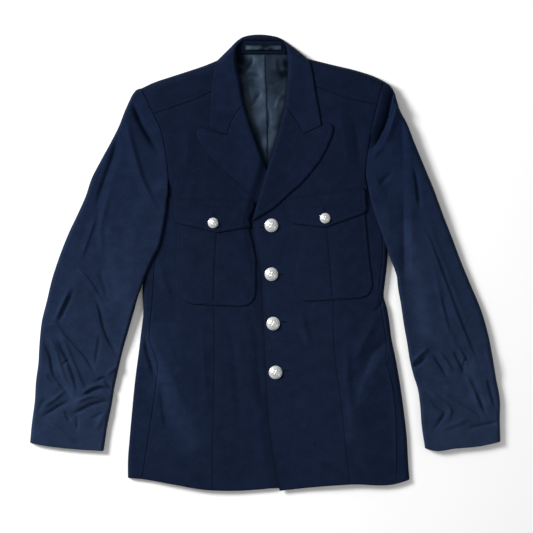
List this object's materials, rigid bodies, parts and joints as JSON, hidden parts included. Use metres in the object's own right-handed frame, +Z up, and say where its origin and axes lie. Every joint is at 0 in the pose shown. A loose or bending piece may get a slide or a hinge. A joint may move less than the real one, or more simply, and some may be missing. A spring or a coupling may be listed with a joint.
{
  "type": "dress uniform jacket",
  "caption": "Single-breasted dress uniform jacket with peaked lapels, patch pockets and domed buttons, laid flat on its back.",
  "frame": {"origin": "middle of the laid garment's bounding box, on the surface it lies on", "axes": "+Z up from the surface, +Y towards the collar, +X towards the wearer's left sleeve"},
  "size_m": [0.8026, 0.7777, 0.0265],
  "materials": {
    "navy_wool": "matt fine twill wool",
    "lining_satin": "soft satin lining",
    "loop_satin": "satin tape",
    "silver_buttons": "polished silver-coloured metal"
  },
  "bodies": {
    "root": {"back": "navy_wool", "front_left": "navy_wool", "front_right": "navy_wool", "side_left": "navy_wool", "side_right": "navy_wool", "yoke_left": "navy_wool", "yoke_right": "navy_wool", "sleeve_left_top": "navy_wool", "sleeve_right_top": "navy_wool", "sleeve_left_under": "navy_wool", "sleeve_right_under": "navy_wool", "lapel_left": "navy_wool", "lapel_right": "navy_wool", "collar": "navy_wool", "collar_stand": "navy_wool", "undercollar": "navy_wool", "back_lining": "lining_satin", "hanger_loop": "loop_satin", "pocket_left": "navy_wool", "pocket_right": "navy_wool", "flap_left": "navy_wool", "flap_right": "navy_wool", "front_button_1": "silver_buttons", "front_button_2": "silver_buttons", "front_button_3": "silver_buttons", "front_button_4": "silver_buttons", "pocket_button_left": "silver_buttons", "pocket_button_right": "silver_buttons"}
  },
  "joints": []
}
